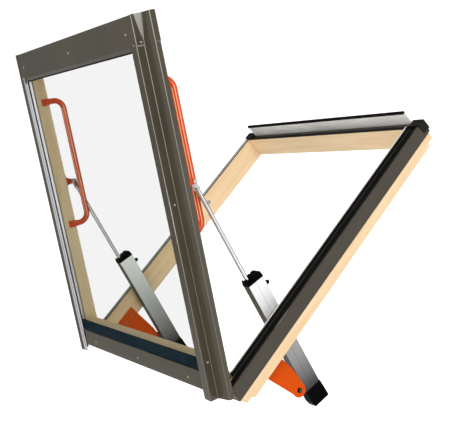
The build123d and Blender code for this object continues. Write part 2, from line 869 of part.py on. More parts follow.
def housing_head():
    """Black cap at the top of the housing, with raised lobes and the rod's gland."""
    left = housing_left + housing_cap_proud
    right = housing_right - housing_cap_proud
    low = housing_high
    step = low + head_height
    half = housing_depth / 2 + housing_cap_proud
    band = block((rod_x - half, rod_x + half), (low, step), (right, left))
    band = chamfer(band.edges().filter_by(Axis.Y), 3)
    lobes = [
        (low + 2, left - 1), (step, left - 1), (step + 9, left - 3), (step + 11, left - 6),
        (step + 8, left - 9), (step + 2, left - 10), (step + 2, left - 27),
        (step + 13, left - 31), (step + 15, left - 38), (step + 11, left - 43),
        (step + 15, left - 48), (step + 15, right + 10), (step + 9, right + 2),
        (low + 2, right + 2),
    ]
    inset = half - 3
    head = band + along_x(lobes, rod_x - inset, rod_x + inset)
    gland_end = step + 7
    head += rod_along_y(rod_radius + 5, low + 2, gland_end, rod_x, -rod_offset)
    return head - rod_along_y(rod_radius + rod_gap, low - 1, step + 16, rod_x, -rod_offset)


def housing_foot():
    """Black end cap below the housing, bevelled round its bottom."""
    left = housing_left + housing_cap_proud
    right = housing_right - housing_cap_proud
    bottom = housing_low - foot_length
    outline = [
        (housing_low, left), (bottom + 22, left - 1), (bottom, left - 7), (bottom, right - 1),
        (bottom + 6, right - 4), (housing_low - 20, right - 2), (housing_low, right),
    ]
    half = housing_depth / 2 + housing_cap_proud
    foot = along_x(outline, rod_x - half, rod_x + half)
    return chamfer(foot.faces().sort_by(Axis.Y)[0].edges(), 2.5)


def swivel_lug():
    """Lug clamped to the housing's left face, turning on the swivel bolt."""
    outer = member_inner_x - plate_thickness - lug_gap
    inner = rod_x - housing_depth / 2 + 10
    base = housing_left + 3
    outline = [
        (housing_low + 4, housing_left), (lug_end, housing_left), (lug_end, base),
        (lug_radius + 4, base),
        (8, 7.5), (-8, 7.5), (-lug_radius - 4, base), (housing_low + 4, base),
    ]
    lug = along_x(outline, inner, outer)
    lug += rod_along_x(lug_radius, inner, outer, 0, 0)
    lug -= block((inner - 1, outer + 1), (housing_low, lug_end), (housing_right, housing_left))
    return lug - rod_along_x(swivel_bolt_radius + pin_clearance, inner - 1, outer + 1, 0, 0)


def cable_gland():
    """Cable gland on the housing's right face; no cable is shown."""
    place = Pos(rod_x, gland_y, housing_right) * Rot(X=180)
    base = extrude(RegularPolygon(nut_radius, 6), 12)
    dome = Cone(7, 5, 5, align=(Align.CENTER, Align.CENTER, Align.MIN))
    return place * (base + Pos(0, 0, 12) * dome)


def push_rod():
    """Polished rod, shown fully out of its housing."""
    return rod_along_y(rod_radius, rod_inner_end, rod_end_y - eye_radius, rod_x, -rod_offset)


def rod_eye():
    """Eye at the rod's end, with the nut that closes the bolted joint on its inner side."""
    x0 = rod_x - rod_radius
    x1 = rod_x + rod_radius
    y = rod_end_y
    z = -rod_offset
    collar = rod_along_y(rod_radius + 3, y - 32, y - 20, rod_x, z)
    neck = block((x0, x1), (y - 22, y), (z - rod_radius, z + rod_radius))
    eye = collar + neck + rod_along_x(eye_radius, x0, x1, y, z)
    eye -= rod_along_y(rod_radius, y - 40, y - eye_radius, rod_x, z)
    nut = Pos(x0, y, z) * Rot(Y=-90) * extrude(RegularPolygon(nut_radius, 6), nut_height)
    return eye + nut


def rod_bracket():
    """Orange bracket under a sash side rail, with the tongue beside the rod's eye."""
    x0 = rod_x + rod_radius + eye_gap
    x1 = x0 + bracket_thickness
    v = rod_end_v
    w = rod_end_w
    top = rail_bottom
    base = block((rail_inner_x + 2, rail_outer_x - 1), (v - 18, v + 30), (top - 3, top))
    outline = [(v - 14, top), (v + 25, top), (v + 9, w + 4), (v, w), (v - 9, w + 4)]
    tongue = along_x(outline, x0, x1) + rod_along_x(eye_radius, x0, x1, v, w)
    tongue -= rod_along_x(pivot_bolt_radius, x0 - 1, x1 + 1, v, w)
    return base + tongue


def rod_bolt():
    """Bolt of the rod's upper pivot: head and shank in the bracket's tongue."""
    x0 = rod_x + rod_radius + eye_gap
    x1 = x0 + bracket_thickness
    shank = rod_along_x(pivot_bolt_radius, x0, x1, rod_end_v, rod_end_w)
    place = Pos(x1, rod_end_v, rod_end_w) * Rot(Y=90)
    head = place * extrude(RegularPolygon(nut_radius, 6), nut_height)
    return shank + head


def hood_screws():
    """Dark screws through the hood into the top rail."""
    x = rail_inner_x - hood_screw_inset
    v = rail_high_end + hood_screw_setback
    head = screw(cover_screw_radius, cover_screw_height)
    return [Pos(a, v, hood_top_w) * head for a in (-x, 0, x)]


def bottom_cover_screws():
    """Dark screws through the bottom cover into the bottom rail's tongue."""
    x = rail_inner_x - bottom_screw_inset
    head = screw(cover_screw_radius, cover_screw_height, bottom_screw_length)
    return [Pos(a, bottom_screw_v, bottom_cover_w) * head for a in (-x, 0, x)]


def side_cover_screws():
    """Dark screws through the right side cover into its rail."""
    share = (side_screw_w - cover_valley_w) / (cover_ridge_w - cover_valley_w)
    x = cover_valley_x + share * cover_undercut
    head = Rot(Y=90) * screw(cover_screw_radius, cover_screw_height)
    places = (side_screw_first, side_screw_first + side_screw_step)
    return [Pos(x, v, side_screw_w) * head for v in places]


def cap_screw():
    """Dark screw in the side of the right hood end cap."""
    place = Pos(cover_ridge_x - cap_proud, cap_low_end + cap_screw_setback, side_screw_w)
    return place * Rot(Y=90) * screw(cover_screw_radius, cover_screw_height, cap_screw_length)


def bow_screws():
    """Steel screws through the flattened ends of the right bow."""
    x = rail_inner_x - bow_flat_thickness
    return [Pos(x, v, bow_screw_w) * Rot(Y=-90) * screw() for v in (bow_low_v, bow_high_v)]


def arm_screws():
    """Steel screws through the right hinge arm into its rail."""
    x = rail_outer_x + hinge_ear
    head = Rot(Y=90) * screw(cover_screw_radius, hinge_screw_height)
    return [Pos(x, hinge_arm_length - i * arm_screw_step, 0) * head for i in range(3)]


def plate_screws():
    """Steel screws through the right actuator plate into the side member."""
    x = member_inner_x - plate_thickness
    places = (plate_screw_y, plate_screw_y + plate_screw_step)
    return [Pos(x, y, plate_screw_z) * Rot(Y=-90) * screw() for y in places]


def hinge_plate_screws():
    """Steel screws through the right hinge plate into the side member."""
    x = member_inner_x - hinge_ear
    head = Rot(Y=-90) * screw(cover_screw_radius, hinge_screw_height)
    low = (hinge_plate_low_y + hinge_screw_edge, hinge_plate_bottom + hinge_screw_edge)
    high = (hinge_plate_high_y - hinge_screw_edge, hinge_plate_top - 2 * hinge_screw_edge)
    return [Pos(x, y, z) * head for y, z in (low, high)]


def on_both_sides(shapes):
    """Right-hand shapes with their mirror images."""
    return [side for shape in shapes for side in both_sides(shape)]


def build_frame():
    """Everything that stays with the roof."""
    save_pair("frame_side", frame_side(), FRAME)
    save("frame_top", frame_top(), FRAME)
    save("frame_bottom", frame_bottom(), FRAME)
    save_pair("side_cladding", side_cladding(), FRAME)
    save("lower_cladding", lower_cladding(), FRAME)
    save("top_cladding", top_cladding(), FRAME)
    save("frame_seal", frame_seal(), FRAME)
    save("lip_seals", lip_seals(), FRAME)
    save("lip_beads", both_sides(lip_bead()), FRAME)
    save("top_upstand", top_upstand(), FRAME)
    save("upstand_seal", upstand_seal(), FRAME)
    save_pair("corner_cap", corner_cap(), FRAME)
    save("frame_hinges", both_sides(frame_hinge()), FRAME)
    save("hinge_pins", both_sides(hinge_pin()), FRAME)
    save_pair("actuator_plate", actuator_plate(), FRAME)
    save("swivel_bolts", both_sides(swivel_bolt()), FRAME)
    save("swivel_washers", both_sides(swivel_washer()), FRAME)
    save("frame_screws", on_both_sides(plate_screws() + hinge_plate_screws()), FRAME)


def build_sash():
    """Everything that swings with the sash."""
    save_pair("sash_side", sash_side(), SASH)
    save("sash_top", sash_top(), SASH)
    save("sash_bottom", sash_bottom(), SASH)
    save("sash_hinge_arms", both_sides(sash_hinge_arm()), SASH)
    save("inner_pane", pane(glass_bottom), SASH)
    save("outer_pane", pane(outer_pane_bottom), SASH)
    save("glass_spacer", spacer(), SASH)
    save("glass_band", glass_band(), SASH)
    inner_gasket = glazing_ring(
        glass_half_width, glass_low_end + 4, glass_high_end, 20, rail_top, glass_bottom
    )
    save("inner_gasket", inner_gasket, SASH)
    save("outer_gasket", outer_gasket(), SASH)
    save_pair("side_cover", side_cover(), SASH)
    save("top_cover", hood(), SASH)
    save("bottom_cover", bottom_cover(), SASH)
    save_pair("cover_cap", cover_cap() - cap_screw(), SASH)
    side_screws = on_both_sides(side_cover_screws() + [cap_screw()])
    save("cover_screws", hood_screws() + bottom_cover_screws() + side_screws, SASH)
    save_pair("bow", bow(), SASH)
    save("sash_screws", on_both_sides(bow_screws() + arm_screws()), SASH)
    save_pair("rod_bracket", rod_bracket(), SASH)
    save("rod_bolts", both_sides(rod_bolt()), SASH)


def build_actuators():
    """The two linear actuators, each with its rod fully out."""
    save_pair("housing", housing(), ACTUATOR)
    save_pair("housing_head", housing_head(), ACTUATOR)
    save_pair("housing_foot", housing_foot(), ACTUATOR)
    save_pair("swivel_lug", swivel_lug(), ACTUATOR)
    save_pair("cable_gland", cable_gland(), ACTUATOR)
    save_pair("push_rod", push_rod(), ACTUATOR)
    save_pair("rod_eye", rod_eye(), ACTUATOR)


os.makedirs("parts", exist_ok=True)
build_frame()
build_sash()
build_actuators()
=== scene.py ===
import math

import bpy
from mathutils import Matrix, Vector


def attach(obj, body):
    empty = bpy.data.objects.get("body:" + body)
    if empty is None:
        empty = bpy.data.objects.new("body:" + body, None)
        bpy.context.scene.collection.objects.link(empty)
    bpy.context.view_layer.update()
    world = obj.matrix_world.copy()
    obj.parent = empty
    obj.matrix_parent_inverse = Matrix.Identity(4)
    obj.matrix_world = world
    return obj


# The looks of the roof skylight: materials for the CAD nodes, small trim, lights and the camera.
# All lengths are in metres. X runs across the window towards its right side, Y runs up the slope
# and Z points out of the roof.

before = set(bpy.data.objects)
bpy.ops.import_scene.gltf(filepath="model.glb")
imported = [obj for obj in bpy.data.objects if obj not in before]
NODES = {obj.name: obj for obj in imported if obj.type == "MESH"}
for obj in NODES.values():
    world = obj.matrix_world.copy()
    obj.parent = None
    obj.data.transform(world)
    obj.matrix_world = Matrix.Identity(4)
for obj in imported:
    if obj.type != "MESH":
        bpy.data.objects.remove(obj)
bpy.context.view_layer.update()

# Directions at rest, with the sash open
RIGHTWARD = (1, 0, 0)
LEFTWARD = (-1, 0, 0)
OUTWARD = (0, 0, 1)
OPEN_ANGLE = math.radians(56)
SASH_UP = (0, math.cos(OPEN_ANGLE), math.sin(OPEN_ANGLE))
SASH_OUT = (0, -math.sin(OPEN_ANGLE), math.cos(OPEN_ANGLE))
ACTUATOR_ANGLE = math.radians(74.828)
ACTUATOR_AXIS = (0, math.cos(ACTUATOR_ANGLE), math.sin(ACTUATOR_ANGLE))
ACTUATOR_ACROSS = (0, -math.sin(ACTUATOR_ANGLE), math.cos(ACTUATOR_ANGLE))


def turned_right(degrees, start):
    """The direction at an angle from a starting one, square to X, towards the right side."""
    angle = math.radians(degrees)
    return (math.sin(angle), math.cos(angle) * start[1], math.cos(angle) * start[2])


# Material helpers

BLACK = (0, 0, 0)
WHITE = (1, 1, 1)


def new_material(name):
    """An empty material with its shader, its node tree and its links."""
    material = bpy.data.materials.new(name)
    material.use_nodes = True
    tree = material.node_tree
    return material, tree.nodes["Principled BSDF"], tree.nodes, tree.links


def set_surface(shader, roughness, specular):
    """The roughness and the specular level of a surface that isn't bare metal."""
    shader.inputs["Roughness"].default_value = roughness
    shader.inputs["Specular IOR Level"].default_value = specular


def set_metal(shader, share, roughness):
    """How metallic and how rough a surface is."""
    shader.inputs["Metallic"].default_value = share
    shader.inputs["Roughness"].default_value = roughness


def object_coordinates(nodes):
    """Where a point lies on the part at rest."""
    return nodes.new("ShaderNodeTexCoord").outputs["Object"]


def grain_coordinates(nodes, links, tilt, stretch):
    """Object coordinates turned back by a tilt about X, then stretched."""
    turn = nodes.new("ShaderNodeMapping")
    turn.inputs["Rotation"].default_value = (-tilt, 0, 0)
    links.new(object_coordinates(nodes), turn.inputs["Vector"])
    scale = nodes.new("ShaderNodeMapping")
    scale.inputs["Scale"].default_value = stretch
    links.new(turn.outputs["Vector"], scale.inputs["Vector"])
    return scale.outputs["Vector"]


def noise(nodes, links, vector, size, detail, roughness=0.5, distortion=0.0):
    """A noise texture's value."""
    texture = nodes.new("ShaderNodeTexNoise")
    texture.inputs["Scale"].default_value = size
    texture.inputs["Detail"].default_value = detail
    texture.inputs["Roughness"].default_value = roughness
    texture.inputs["Distortion"].default_value = distortion
    links.new(vector, texture.inputs["Vector"])
    return texture.outputs["Fac"]


def ramp(nodes, links, value, positions, colours):
    """A colour ramp through colours at their positions."""
    node = nodes.new("ShaderNodeValToRGB")
    elements = node.color_ramp.elements
    while len(elements) < len(positions):
        elements.new(0.5)
    for element, position, colour in zip(elements, positions, colours):
        element.position = position
        element.color = (*colour, 1)
    links.new(value, node.inputs["Fac"])
    return node.outputs["Color"]


def bump(nodes, links, shader, value, strength, distance):
    """Small relief on a material."""
    node = nodes.new("ShaderNodeBump")
    node.inputs["Strength"].default_value = strength
    node.inputs["Distance"].default_value = distance
    links.new(value, node.inputs["Height"])
    links.new(node.outputs["Normal"], shader.inputs["Normal"])


def blend(nodes, links, factor, first, second):
    """The first colour turning into the second as the factor goes from 0 to 1."""
    node = nodes.new("ShaderNodeMix")
    node.data_type = "RGBA"
    links.new(factor, node.inputs["Factor"])
    for socket, colour in (("A", first), ("B", second)):
        target = [s for s in node.inputs if s.name == socket and s.type == "RGBA"][0]
        if isinstance(colour, tuple):
            target.default_value = (*colour, 1)
        else:
            links.new(colour, target)
    return [s for s in node.outputs if s.type == "RGBA"][0]


def part_along(nodes, links, coordinate, direction):
    """The part of a coordinate's vector that lies along a direction."""
    where = nodes.new("ShaderNodeTexCoord")
    dot = nodes.new("ShaderNodeVectorMath")
    dot.operation = "DOT_PRODUCT"
    dot.inputs[1].default_value = direction
    links.new(where.outputs[coordinate], dot.inputs[0])
    return dot.outputs["Value"]


def facing(nodes, links, direction):
    """How squarely a surface faces along a direction or against it, from 0 to 1."""
    size = nodes.new("ShaderNodeMath")
    size.operation = "ABSOLUTE"
    links.new(part_along(nodes, links, "Normal", direction), size.inputs[0])
    return size.outputs[0]


def facing_share(nodes, links, direction, limits):
    """A share that rises from 0 to 1 as a surface turns to face along a direction."""
    return ramp(nodes, links, facing(nodes, links, direction), limits, (BLACK, WHITE))


def share_along(nodes, links, direction, start, end, coordinate="Object"):
    """How far a point lies between two distances along a direction, from 0 to 1."""
    share = nodes.new("ShaderNodeMapRange")
    share.inputs["From Min"].default_value = start
    share.inputs["From Max"].default_value = end
    links.new(part_along(nodes, links, coordinate, direction), share.inputs["Value"])
    return share.outputs["Result"]


def weighted_sum(nodes, links, first, second, weights):
    """Two values added, each with its weight."""
    scaled = nodes.new("ShaderNodeMath")
    scaled.operation = "MULTIPLY"
    scaled.inputs[1].default_value = weights[0]
    links.new(first, scaled.inputs[0])
    total = nodes.new("ShaderNodeMath")
    total.operation = "MULTIPLY_ADD"
    total.inputs[1].default_value = weights[1]
    links.new(second, total.inputs[0])
    links.new(scaled.outputs[0], total.inputs[2])
    return total.outputs[0]


# Lacquered pine

PINE_LIGHT = (0.86, 0.66, 0.42)
PINE_DARK = (0.72, 0.49, 0.26)
SIDE_PINE_LIGHT = (0.83, 0.62, 0.385)
SIDE_PINE_DARK = (0.68, 0.44, 0.215)
ALONG_X = (0.06, 1, 1)
ALONG_Y = (1, 0.06, 1)
STREAKS = {"size": 90, "detail": 4, "roughness": 0.6, "distortion": 0.4}
STREAK_STOPS = (0.36, 0.62)
BOARDS = {"size": 14, "detail": 3, "roughness": 0.5, "distortion": 1.2}
BOARD_STOPS = (0.38, 0.50, 0.64)
LACQUER_ROUGHNESS = 0.42
LACQUER_SPECULAR = 0.35
GRAIN_RELIEF = 0.12
GRAIN_DEPTH = 0.0006


def pine(name, stretch, tilt, light, dark):
    """Lacquered pine with its grain stretched along X or Y, turned by a tilt about X."""
    material, shader, nodes, links = new_material(name)
    vector = grain_coordinates(nodes, links, tilt, stretch)
    streaks = noise(nodes, links, vector, **STREAKS)
    boards = noise(nodes, links, vector, **BOARDS)
    middle = tuple((a + b) / 2 for a, b in zip(light, dark))
    fine = ramp(nodes, links, streaks, STREAK_STOPS, (middle, light))
    wide = ramp(nodes, links, boards, BOARD_STOPS, (dark, light, middle))
    links.new(blend(nodes, links, boards, fine, wide), shader.inputs["Base Color"])
    set_surface(shader, LACQUER_ROUGHNESS, LACQUER_SPECULAR)
    bump(nodes, links, shader, streaks, GRAIN_RELIEF, GRAIN_DEPTH)
    return material


# Coats, plastics and rubbers

MOTTLE = {"size": 6, "detail": 3}
MOTTLE_STOPS = (0.35, 0.65)
MOTTLE_DARK = 0.93
MOTTLE_PALE = 1.07
RELIEF = {"size": 900, "detail": 2}
RELIEF_DEPTH = 0.0002


def shade(colour, share):
    """A colour made darker or paler, with no channel over 1."""
    return tuple(min(1, channel * share) for channel in colour)


def mottle(nodes, links, low, high):
    """A cloudy change between two tones."""
    cloud = noise(nodes, links, object_coordinates(nodes), **MOTTLE)
    return ramp(nodes, links, cloud, MOTTLE_STOPS, (low, high))


def mottled(nodes, links, colour):
    """A colour with a faint mottle."""
    return mottle(nodes, links, shade(colour, MOTTLE_DARK), shade(colour, MOTTLE_PALE))


def fine_relief(nodes, links, shader, strength):
    """The fine unevenness of a coat, a moulding or a rubber."""
    grains = noise(nodes, links, object_coordinates(nodes), **RELIEF)
    bump(nodes, links, shader, grains, strength, RELIEF_DEPTH)


def painted(name, colour, roughness, relief=0.05, specular=0.5):
    """A coat, plastic or rubber of one colour with a faint mottle."""
    material, shader, nodes, links = new_material(name)
    links.new(mottled(nodes, links, colour), shader.inputs["Base Color"])
    set_surface(shader, roughness, specular)
    fine_relief(nodes, links, shader, relief)
    return material


# Folded sheet of the sash covers, with painted highlights on its folds

TAUPE = (0.061, 0.052, 0.033)
SHEET_ROUGHNESS = 0.18
SHEET_SPECULAR = 0.4
SHEET_RELIEF = 0.05
# How far a fold leans to each of its two faces, and how close to that slant the painted
# highlight starts and is full
FOLD_SLANT = (0.77, 0.63)
COVER_FOLDS = (0.975, 0.988)
CAP_FOLDS = (0.90, 0.98)
# The painted highlight tones low and high on the open sash, and the heights along it, measured
# from the origin, between which one turns into the other
FOLD_HIGHLIGHT_LOW = (0.12, 0.112, 0.10)
FOLD_HIGHLIGHT_HIGH = (0.30, 0.285, 0.265)
PLEAT_HIGHLIGHT = (0.17, 0.162, 0.15)
FOLD_HIGHLIGHT_FROM = 0.55
FOLD_HIGHLIGHT_TO = 1.20
# The painted reflection along the left cover's inner edge ends between these distances from
# the window's middle
LEFT_COVER_PAINTED_REFLECTION = (0.60, 0.60, 0.62)
PAINTED_REFLECTION_FROM = 0.4896
PAINTED_REFLECTION_TO = 0.4992


def folded_paint(name, highlight_low, folds, painted_reflection=None):
    """Painted sheet with painted highlights on its eased folds, paler higher up the sash."""
    material, shader, nodes, links = new_material(name)
    paint = mottled(nodes, links, TAUPE)
    # Painted reflection: a pale stripe along the inner edge of the left cover
    if painted_reflection:
        reflection_share = share_along(nodes, links, LEFTWARD, PAINTED_REFLECTION_FROM, PAINTED_REFLECTION_TO)
        paint = blend(nodes, links, reflection_share, painted_reflection, paint)
    # Painted highlight: faces turned like the folds take a pale tone, paler higher up the sash
    across = facing(nodes, links, RIGHTWARD)
    outward = facing(nodes, links, SASH_OUT)
    fold = weighted_sum(nodes, links, across, outward, FOLD_SLANT)
    highlight_share = ramp(nodes, links, fold, folds, (BLACK, WHITE))
    height = share_along(nodes, links, SASH_UP, FOLD_HIGHLIGHT_FROM, FOLD_HIGHLIGHT_TO)
    highlight = blend(nodes, links, height, highlight_low, FOLD_HIGHLIGHT_HIGH)
    links.new(blend(nodes, links, highlight_share, paint, highlight), shader.inputs["Base Color"])
    set_surface(shader, SHEET_ROUGHNESS, SHEET_SPECULAR)
    fine_relief(nodes, links, shader, SHEET_RELIEF)
    return material


# Glossy coat of the guard bows, with painted highlights and painted shade

BOW_RED = (0.68, 0.060, 0.003)
BOW_PAINTED_SHADE = (0.34, 0.024, 0.003)
BOW_PAINTED_HIGHLIGHT = (0.95, 0.50, 0.30)
BOW_SHADED_FLANK = turned_right(-25, SASH_OUT)
BOW_SHADED_FLANK_LIMITS = (0.72, 0.94)
BOW_HIGHLIGHT_STREAKS = (turned_right(30, SASH_OUT), turned_right(77, SASH_OUT))
BOW_HIGHLIGHT_LIMITS = (0.985, 0.996)
BOW_ROUGHNESS = 0.2
BOW_SPECULAR = 0.3
BOW_RELIEF = 0.02


def bow_paint(name):
    """Glossy coat with two painted highlight streaks along the tube and painted shade on its
    flanks.
    """
    material, shader, nodes, links = new_material(name)
    colour = mottle(nodes, links, shade(BOW_RED, MOTTLE_DARK), BOW_RED)
    # Painted shade on the flanks and painted highlights in two streaks, by the way each face is
    # turned
    painted_flank = facing_share(nodes, links, BOW_SHADED_FLANK, BOW_SHADED_FLANK_LIMITS)
    colour = blend(nodes, links, painted_flank, colour, BOW_PAINTED_SHADE)
    for direction in BOW_HIGHLIGHT_STREAKS:
        highlight_streak = facing_share(nodes, links, direction, BOW_HIGHLIGHT_LIMITS)
        colour = blend(nodes, links, highlight_streak, colour, BOW_PAINTED_HIGHLIGHT)
    links.new(colour, shader.inputs["Base Color"])
    set_surface(shader, BOW_ROUGHNESS, BOW_SPECULAR)
    fine_relief(nodes, links, shader, BOW_RELIEF)
    return material


# Black rubbers with a grey side

RUBBER_BLACK = (0.005, 0.005, 0.005)
RUBBER_ROUGHNESS = 0.5
RUBBER_RELIEF = 0.1
# Painted highlight, light grey, on the right lip strip's edge, by distance from the window's
# middle
LIP_PAINTED_HIGHLIGHT = (0.90, 0.88, 0.85)
LIP_HIGHLIGHT_FROM = 0.5155
LIP_HIGHLIGHT_TO = 0.5205
LIP_STOPS = (0.0, 0.02, 0.95, 1.0)
LIP_UPWARD_LIMITS = (0.6, 0.8)
LIP_SPECULAR = 0.1
# The outer gasket turns grey within a millimetre at this distance to the left of the middle
GASKET_GREY = (0.42, 0.45, 0.49)
GASKET_GREY_FROM = 0.475
GASKET_GREY_TO = 0.476
GASKET_SPECULAR = 0.05


def lip_rubber(name):
    """Black rubber with a light grey painted highlight on its upper edge beside the opening,
    right side.
    """
    material, shader, nodes, links = new_material(name)
    across = share_along(nodes, links, RIGHTWARD, LIP_HIGHLIGHT_FROM, LIP_HIGHLIGHT_TO)
    edge = ramp(nodes, links, across, LIP_STOPS, (RUBBER_BLACK, LIP_PAINTED_HIGHLIGHT, LIP_PAINTED_HIGHLIGHT, RUBBER_BLACK))
    # Painted highlight: only faces turned outward take the grey
    upward = facing_share(nodes, links, OUTWARD, LIP_UPWARD_LIMITS)
    tone = blend(nodes, links, upward, RUBBER_BLACK, edge)
    links.new(tone, shader.inputs["Base Color"])
    set_surface(shader, RUBBER_ROUGHNESS, LIP_SPECULAR)
    fine_relief(nodes, links, shader, RUBBER_RELIEF)
    return material


def gasket_rubber(name):
    """Black rubber that is grey along the left side of the pane."""
    material, shader, nodes, links = new_material(name)
    left = share_along(nodes, links, LEFTWARD, GASKET_GREY_FROM, GASKET_GREY_TO)
    links.new(blend(nodes, links, left, RUBBER_BLACK, GASKET_GREY), shader.inputs["Base Color"])
    set_surface(shader, RUBBER_ROUGHNESS, GASKET_SPECULAR)
    fine_relief(nodes, links, shader, RUBBER_RELIEF)
    return material


# Metals

ZINC = (0.62, 0.62, 0.61)
BRUSHED = (1, 0.03, 1)
BRUSH_LINES = {"size": 700, "detail": 2}
BRUSH_STOPS = (0.3, 0.7)
BRUSH_DARK = 0.94
# The sash's screws change from zinc to the bows' coat between these heights along the open sash
PAINTED_SCREWS_FROM = 0.39
PAINTED_SCREWS_TO = 0.41
SCREW_METAL_SHARE = 0.6
SCREW_ROUGHNESS = 0.35
SCREW_RELIEF = 0.05
# The housings' ends on the actuators' axis, worked out from the swivel bolts' place
SWIVEL = (0, 0.1435, -0.164)
SWIVEL_HEIGHT = sum(a * b for a, b in zip(SWIVEL, ACTUATOR_AXIS))
HOUSING_BELOW_SWIVEL = 0.028
HOUSING_ABOVE_SWIVEL = 0.408
HOUSING_LOW = SWIVEL_HEIGHT - HOUSING_BELOW_SWIVEL
HOUSING_HIGH = SWIVEL_HEIGHT + HOUSING_ABOVE_SWIVEL
# Painted reflection and shade on the housings: near white at the head, near black at the foot,
# and dark on the narrow faces
HOUSING_HEAD_PAINTED_REFLECTION = (0.93, 0.93, 0.93)
HOUSING_FOOT_PAINTED_SHADE = (0.03, 0.03, 0.03)
HOUSING_NARROW_PAINTED_SHADE = (0.075, 0.075, 0.065)
HOUSING_SIDE_LIMITS = (0.5, 0.9)
HOUSING_METAL_SHARE = 0.55
HOUSING_ROUGHNESS = 0.42
HOUSING_RELIEF = 0.08
# Painted reflection: the rod's flanks are painted dark, as if mirroring a dark surrounding
ROD_TONE = (0.86, 0.86, 0.87)
ROD_FLANK_PAINTED_REFLECTION = (0.05, 0.05, 0.055)
ROD_FLANK = turned_right(-26.5, ACTUATOR_ACROSS)
ROD_FLANK_STOPS = (0.58, 0.80)
ROD_ROUGHNESS = 0.16


def metal(name, colour, roughness):
    """Bare metal with faint lines along Y."""
    material, shader, nodes, links = new_material(name)
    vector = grain_coordinates(nodes, links, 0, BRUSHED)
    lines = noise(nodes, links, vector, **BRUSH_LINES)
    tone = ramp(nodes, links, lines, BRUSH_STOPS, (shade(colour, BRUSH_DARK), colour))
    links.new(tone, shader.inputs["Base Color"])
    set_metal(shader, 1, roughness)
    return material


def screws_in_two_finishes(name):
    """Zinc screws low on the sash, and screws painted with the guard bows above them."""
    material, shader, nodes, links = new_material(name)
    upper = share_along(nodes, links, SASH_UP, PAINTED_SCREWS_FROM, PAINTED_SCREWS_TO)
    links.new(blend(nodes, links, upper, ZINC, BOW_RED), shader.inputs["Base Color"])
    set_metal(shader, SCREW_METAL_SHARE, SCREW_ROUGHNESS)
    fine_relief(nodes, links, shader, SCREW_RELIEF)
    return material


def housing_alloy(name):
    """Anodised alloy with painted reflection and shade: light broad faces darkening towards the
    foot, and dark narrow faces.
    """
    material, shader, nodes, links = new_material(name)
    # Painted reflection along the housing, and painted shade on its narrow faces
    height = share_along(nodes, links, ACTUATOR_AXIS, HOUSING_LOW, HOUSING_HIGH)
    broad = blend(nodes, links, height, HOUSING_FOOT_PAINTED_SHADE, HOUSING_HEAD_PAINTED_REFLECTION)
    side = facing_share(nodes, links, RIGHTWARD, HOUSING_SIDE_LIMITS)
    tone = blend(nodes, links, side, HOUSING_NARROW_PAINTED_SHADE, broad)
    links.new(tone, shader.inputs["Base Color"])
    set_metal(shader, HOUSING_METAL_SHARE, HOUSING_ROUGHNESS)
    vector = grain_coordinates(nodes, links, ACTUATOR_ANGLE, BRUSHED)
    lines = noise(nodes, links, vector, **BRUSH_LINES)
    bump(nodes, links, shader, lines, HOUSING_RELIEF, RELIEF_DEPTH)
    return material


def polished_rod(name):
    """Polished steel with a painted reflection of a dark surrounding on its flanks."""
    material, shader, nodes, links = new_material(name)
    painted_flank = facing(nodes, links, ROD_FLANK)
    tone = ramp(nodes, links, painted_flank, ROD_FLANK_STOPS, (ROD_TONE, ROD_FLANK_PAINTED_REFLECTION))
    links.new(tone, shader.inputs["Base Color"])
    set_metal(shader, 1, ROD_ROUGHNESS)
    return material


# Glass

PANE_TINT = (0.78, 0.81, 0.785)
PANE_IOR = 1.015


def glass(name):
    """Tinted clear glass that hardly mirrors or bends what lies round it."""
    material, shader, _, _ = new_material(name)
    shader.inputs["Base Color"].default_value = (*PANE_TINT, 1)
    shader.inputs["Roughness"].default_value = 0.0
    shader.inputs["IOR"].default_value = PANE_IOR
    shader.inputs["Transmission Weight"].default_value = 1
    return material


# Which material each node wears

CLADDING_TAUPE = (0.050, 0.042, 0.030)
UPSTAND_GREY = (0.93, 0.92, 0.89)
ORANGE = (0.63, 0.073, 0.001)
INNER_GASKET_GREY = (0.42, 0.45, 0.48)
BEAD_GREY = (0.60, 0.60, 0.58)
PLASTIC_BLACK = (0.0015, 0.0015, 0.0015)
CORNER_CAP_BLACK = (0.010, 0.009, 0.008)
COVER_SCREW_GREY = (0.30, 0.28, 0.25)
EDGE_BAND_BLUE = (0.010, 0.019, 0.026)
DULL_ZINC = (0.24, 0.23, 0.22)
DARK_ZINC = (0.075, 0.07, 0.06)
SPACER_GREY = (0.80, 0.80, 0.79)


def sides(stem):
    """The two nodes of a right and left pair."""
    return [stem + "_right", stem + "_left"]


